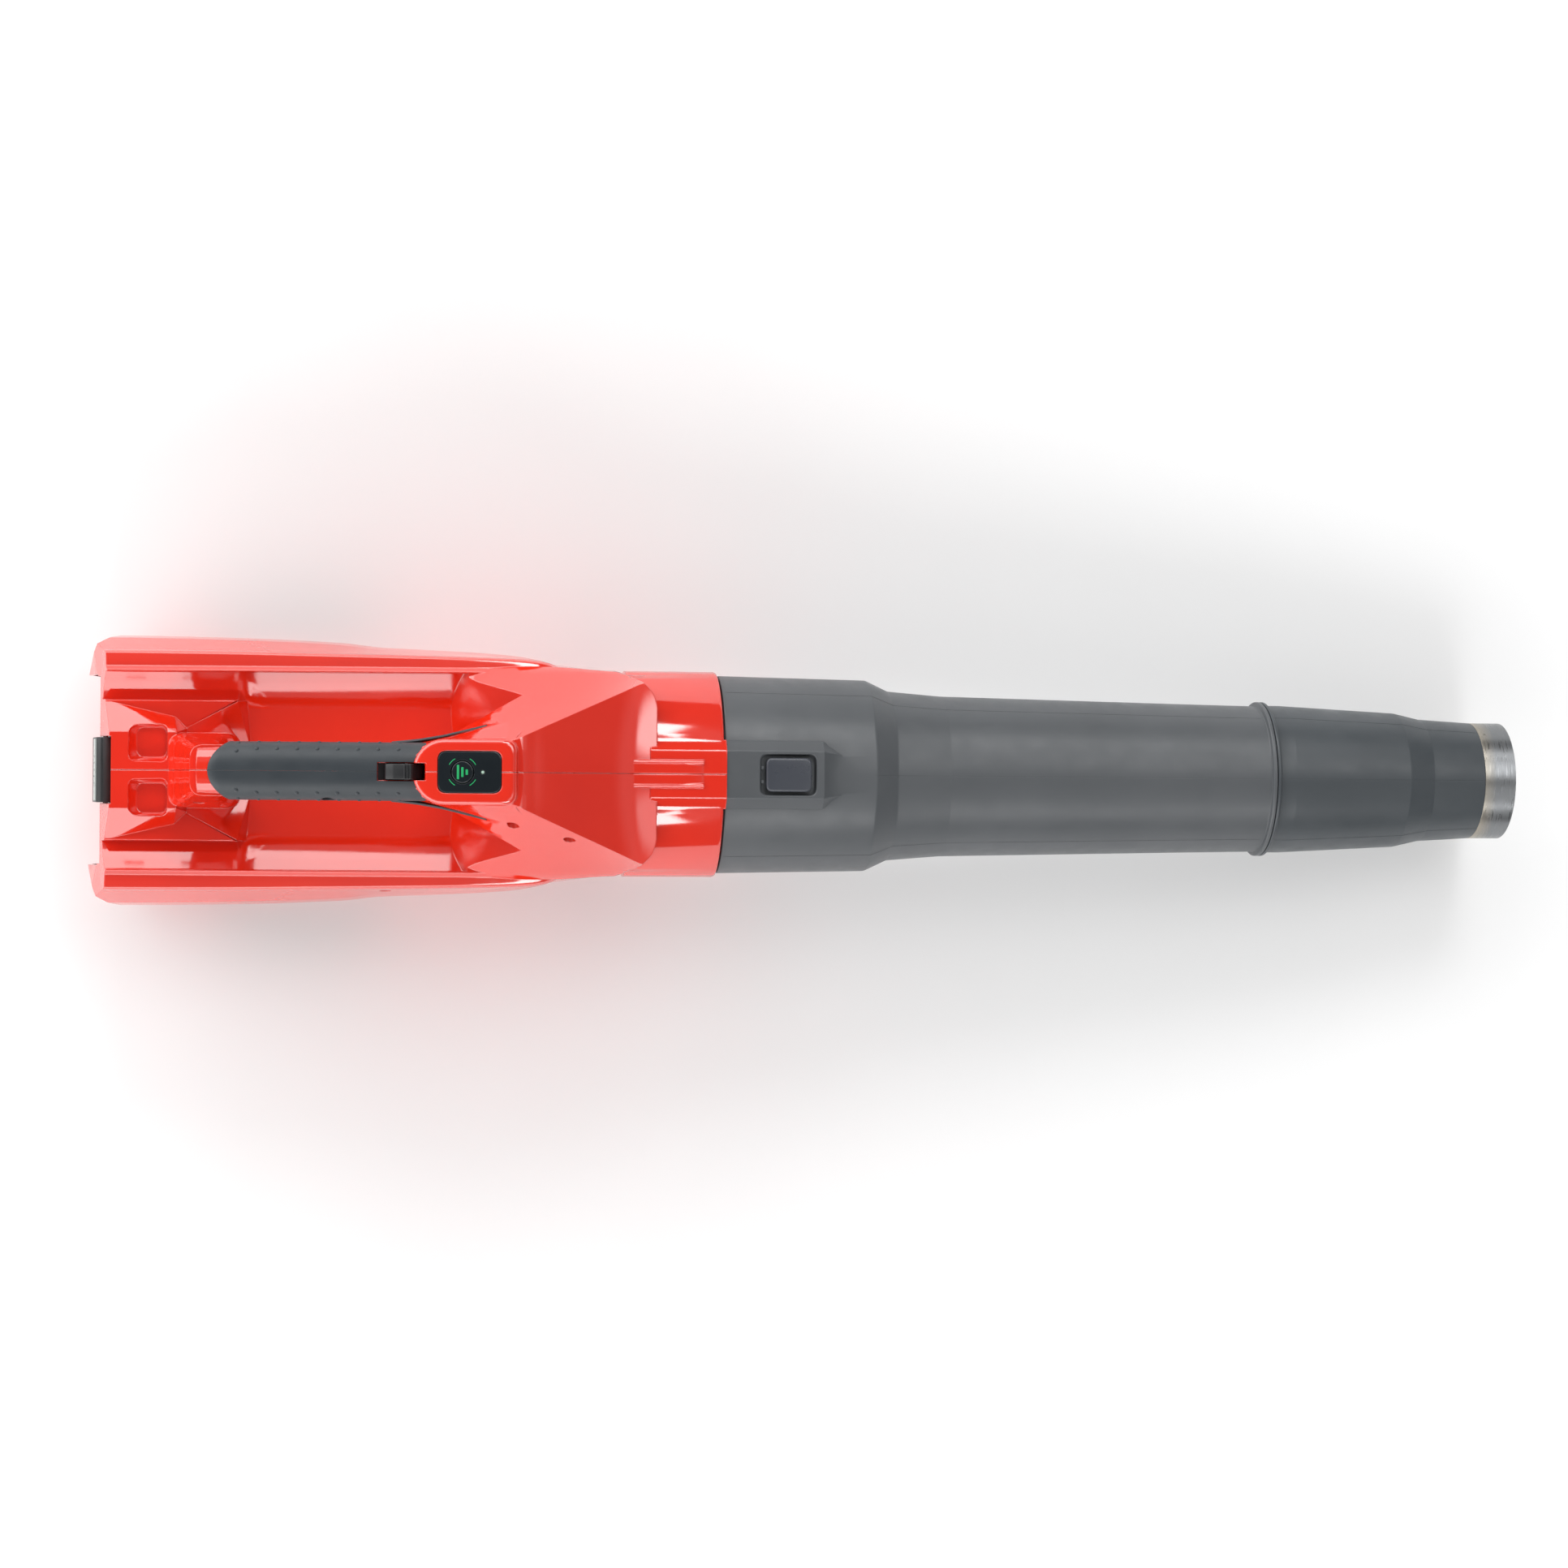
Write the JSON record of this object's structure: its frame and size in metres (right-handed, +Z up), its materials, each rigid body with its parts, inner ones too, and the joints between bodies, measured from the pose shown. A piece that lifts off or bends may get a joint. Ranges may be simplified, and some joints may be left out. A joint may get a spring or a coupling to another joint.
{
  "type": "leaf blower",
  "caption": "Cordless axial leaf blower: clamshell body with a loop handle, ducted fan, slide-in battery pack, quick-release tapered tube and twist-lock nozzle with a metal tip ring.",
  "frame": {"origin": "centre of the whole blower's footprint, on the floor under its feet", "axes": "+X along the airflow from the battery to the nozzle, +Y to the blower's left, +Z up"},
  "size_m": [0.9808, 0.1866, 0.2563],
  "materials": {
    "red_shell": "glossy moulded plastic",
    "grip_rubber": "soft matte overmould",
    "tube_plastic": "fine-textured moulded plastic",
    "nozzle_plastic": "satin moulded plastic",
    "black_plastic": "matte moulded plastic",
    "panel_plastic": "polished plastic",
    "button_plastic": "satin plastic",
    "tip_steel": "rolled sheet with a light heat tint",
    "steel": "bright machined steel",
    "silicon_steel": "stacked laminations",
    "copper": "enamelled winding wire",
    "contact_metal": "plated spring contacts",
    "board": "circuit board with parts",
    "lead_jacket": "flexible wire insulation",
    "lead_red": "flexible wire insulation",
    "foot_rubber": "matte rubber",
    "cell_wrap": "shrink-wrapped cells",
    "heat_sink": "bare cast tray",
    "clear_lens": "clear light pipe"
  },
  "bodies": {
    "body": {"housing_left": "red_shell", "housing_right": "red_shell", "grip_left": "grip_rubber", "grip_right": "grip_rubber", "intake_grille_left": "black_plastic", "intake_grille_right": "black_plastic", "feet": "foot_rubber", "housing_screws": "steel", "battery_bay": "black_plastic", "terminal_block": "black_plastic", "terminal_blades": "contact_metal", "controller_case": "heat_sink", "controller_board": "board", "power_leads": "lead_red", "motor_leads": "lead_jacket", "signal_lead": "lead_jacket", "trigger_pin": "steel", "trigger_spring": "steel", "trigger_switch": "black_plastic", "cruise_pin": "steel", "turbo_panel": "panel_plastic", "turbo_spring": "steel", "switch_board": "board", "status_lens": "clear_lens", "latch_pin": "steel", "latch_spring": "steel", "fan_duct": "black_plastic", "duct_isolators": "foot_rubber", "inlet_guard": "black_plastic", "motor_stator": "silicon_steel", "motor_windings": "copper", "motor_bearings": "steel", "motor_cap": "black_plastic", "tail_cone": "black_plastic", "spigot_seal": "foot_rubber"},
    "rotor": {"motor_rotor": "silicon_steel", "motor_shaft": "steel", "impeller": "black_plastic", "impeller_nut": "steel"},
    "trigger_body": {"trigger": "black_plastic"},
    "cruise": {"cruise_lever": "black_plastic"},
    "turbo": {"turbo_button": "panel_plastic"},
    "latch": {"battery_latch": "black_plastic"},
    "tube_body": {"tube": "tube_plastic", "release_spring": "steel"},
    "release": {"release_button": "button_plastic"},
    "nozzle_body": {"nozzle": "nozzle_plastic", "nozzle_ring": "tip_steel"},
    "battery": {"pack_case_upper": "black_plastic", "pack_case_lower": "black_plastic", "pack_cells": "cell_wrap", "pack_cell_holder": "black_plastic", "pack_board": "board", "pack_contacts": "contact_metal", "pack_gauge": "panel_plastic", "pack_screws": "steel"}
  },
  "joints": [
    {"name": "fan_spin", "type": "hinge", "parent": "body", "child": "rotor", "pos_m": [-0.11895, 0, 0.13231], "axis": [0.9925, 0, -0.1219], "continuous": true},
    {"name": "trigger_pull", "type": "hinge", "parent": "body", "child": "trigger_body", "pos_m": [-0.2514, 0, 0.22], "axis": [0, 1, 0], "range_deg": [0, 10], "stiffness_Nm_per_rad": 0.5, "springref_deg": -11.46, "deforming": ["trigger_spring"]},
    {"name": "cruise_turn", "type": "hinge", "parent": "body", "child": "cruise", "pos_m": [-0.2544, 0, 0.239], "axis": [0, 1, 0], "range_deg": [0, 25]},
    {"name": "turbo_press", "type": "slide", "parent": "body", "child": "turbo", "axis": [0, 0, -1], "range_m": [0, 0.0015], "stiffness_N_per_m": 1500, "springref_m": -0.0006, "deforming": ["turbo_spring"]},
    {"name": "latch_pull", "type": "hinge", "parent": "body", "child": "latch", "pos_m": [-0.4634, 0, 0.148], "axis": [0, 1, 0], "range_deg": [0, 14], "stiffness_Nm_per_rad": 0.3, "springref_deg": -22.92, "deforming": ["latch_spring"]},
    {"name": "battery_slide", "type": "slide", "parent": "body", "child": "battery", "axis": [-1, 0, 0], "range_m": [0, 0.18]},
    {"name": "tube_slide", "type": "slide", "parent": "body", "child": "tube_body", "axis": [0.9925, 0, -0.1219], "range_m": [0, 0.1]},
    {"name": "release_press", "type": "slide", "parent": "tube_body", "child": "release", "axis": [-0.1219, 0, -0.9925], "range_m": [0, 0.0025], "stiffness_N_per_m": 1200, "springref_m": -0.001, "deforming": ["release_spring"]},
    {"name": "nozzle_twist", "type": "hinge", "parent": "tube_body", "child": "nozzle_body", "pos_m": [0.33762, 0, 0.07625], "axis": [0.9925, 0, -0.1219], "range_deg": [0, 24]}
  ]
}
